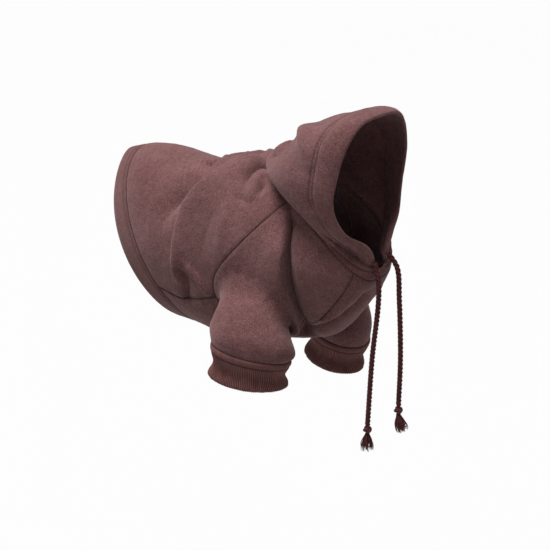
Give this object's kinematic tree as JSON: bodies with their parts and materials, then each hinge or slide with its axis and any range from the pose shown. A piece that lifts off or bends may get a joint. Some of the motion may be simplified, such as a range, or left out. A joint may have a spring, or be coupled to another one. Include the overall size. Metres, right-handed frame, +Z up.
{
  "type": "dog hoodie",
  "caption": "Pullover fleece hoodie for a small dog, shaped as worn: raglan sleeves with rib cuffs, hem band, slouched hood and hanging drawstrings with knotted, frayed ends.",
  "frame": {"origin": "the inside of the back panel in the middle plane, where the hoodie rests on the dog's withers", "axes": "+X towards the dog's head, +Y to the dog's left, +Z up"},
  "size_m": [0.3584, 0.1987, 0.3366],
  "materials": {
    "fleece": "brushed mauve-brown cotton fleece, matt with a short nap",
    "rib_knit": "fine one-by-one rib knit, matt",
    "cord_yarn": "dark burgundy braided cotton cord, matt"
  },
  "bodies": {
    "root": {"back_panel": "fleece", "belly_panel": "fleece", "hem_band": "fleece", "right_sleeve": "fleece", "left_sleeve": "fleece", "right_cuff": "rib_knit", "left_cuff": "rib_knit", "neck_tape": "fleece", "hood": "fleece", "right_drawstring": "cord_yarn", "right_knot": "cord_yarn", "right_tassel": "cord_yarn", "left_drawstring": "cord_yarn", "left_knot": "cord_yarn", "left_tassel": "cord_yarn"}
  },
  "joints": []
}
